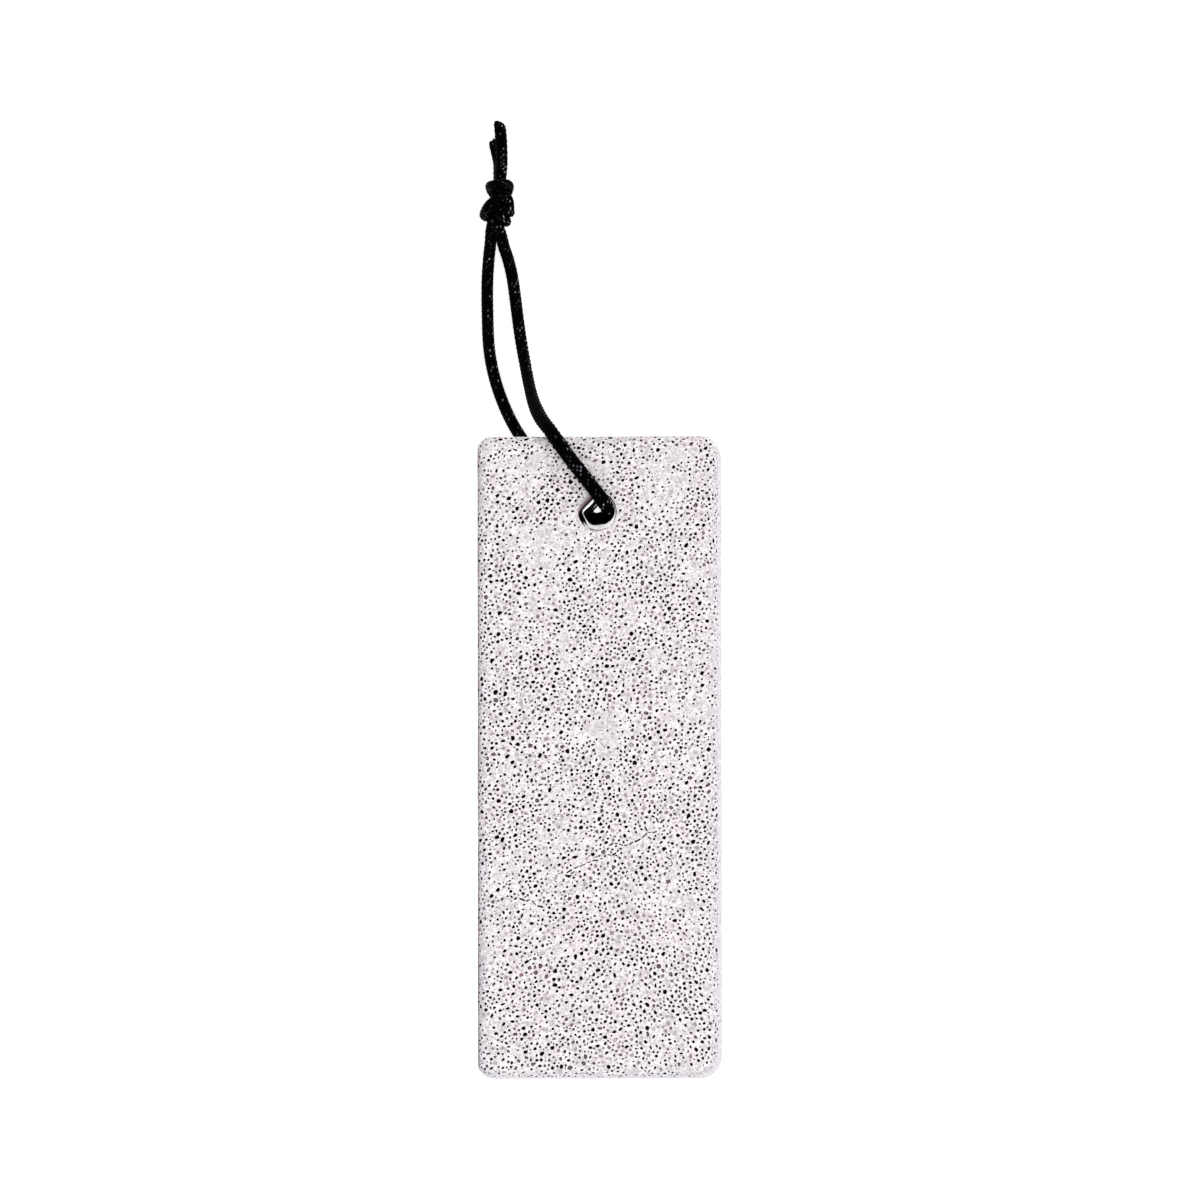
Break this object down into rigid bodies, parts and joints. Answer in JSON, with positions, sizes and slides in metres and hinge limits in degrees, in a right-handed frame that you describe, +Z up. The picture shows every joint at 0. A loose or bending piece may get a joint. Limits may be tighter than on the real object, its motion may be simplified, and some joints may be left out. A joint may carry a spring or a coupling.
{
  "type": "pumice stone",
  "caption": "Rectangular pumice foot stone with rounded edges, a metal-lined hole near one end and a knotted cord loop to hang it by.",
  "frame": {"origin": "on the surface that the stone lies on, under the middle of the stone and its liner", "axes": "+Y along the stone's length towards its hole, +Z up out of the broad front face, +X across the front to the right"},
  "size_m": [0.0384, 0.1512, 0.0219],
  "materials": {
    "pumice": "matte, open pores",
    "liner": "bright nickel, lightly scratched",
    "cord": "braided nylon, low sheen"
  },
  "bodies": {
    "root": {"stone": "pumice", "hole_liner": "liner", "cord_loop": "cord", "cord_knot": "cord", "cord_tail_long": "cord", "cord_tail_short": "cord"}
  },
  "joints": []
}
